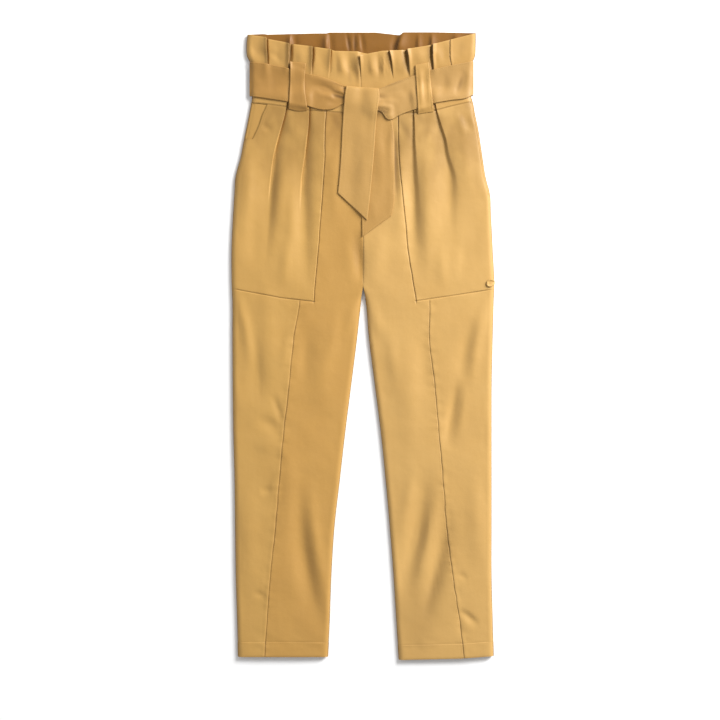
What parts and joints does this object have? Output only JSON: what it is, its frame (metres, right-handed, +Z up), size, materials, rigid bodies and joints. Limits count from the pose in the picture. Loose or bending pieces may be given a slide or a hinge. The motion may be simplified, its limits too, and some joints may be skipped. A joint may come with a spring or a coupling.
{
  "type": "paperbag waist trousers",
  "caption": "Ankle-length trousers laid flat: gathered paperbag waist, tied self-fabric belt in loops, pleated hip panels with slant pockets and slanting leg seams.",
  "frame": {"origin": "centre of the bounding box's underside, on the surface that the trousers lie on", "axes": "+Y from the hems to the waist, +Z up out of the front, +X to the right as seen from above with the waist at the top"},
  "size_m": [0.4314, 1.0318, 0.012],
  "materials": {
    "front_left": "camel cotton sateen twill, soft sheen",
    "front_right": "camel cotton sateen twill, soft sheen",
    "back": "camel cotton sateen twill, soft sheen",
    "belt": "camel cotton sateen twill, double, topstitched edges",
    "belt_lit": "camel cotton sateen twill, double, topstitched edges",
    "facing": "camel cotton sateen twill, soft sheen"
  },
  "bodies": {
    "root": {"back_left": "back", "back_right": "back", "back_waistband_left": "back", "back_waistband_right": "back", "belt_back": "belt", "belt_end_knot": "belt", "belt_end_under": "belt", "belt_left_inner": "belt", "belt_left_outer": "belt", "belt_loop_back_left": "belt", "belt_loop_back_right": "belt", "belt_loop_front_left": "belt", "belt_loop_front_right": "belt", "belt_right_inner": "belt_lit", "belt_right_outer": "belt_lit", "front_centre_left": "front_left", "front_centre_right": "front_right", "front_side_left": "front_left", "front_side_right": "front_right", "front_waistband_left": "front_left", "front_waistband_right": "front_right", "pocket_facing_left": "facing", "pocket_facing_right": "facing", "pocket_panel_left": "front_left", "pocket_panel_right": "front_right", "side_tab": "belt"}
  },
  "joints": []
}
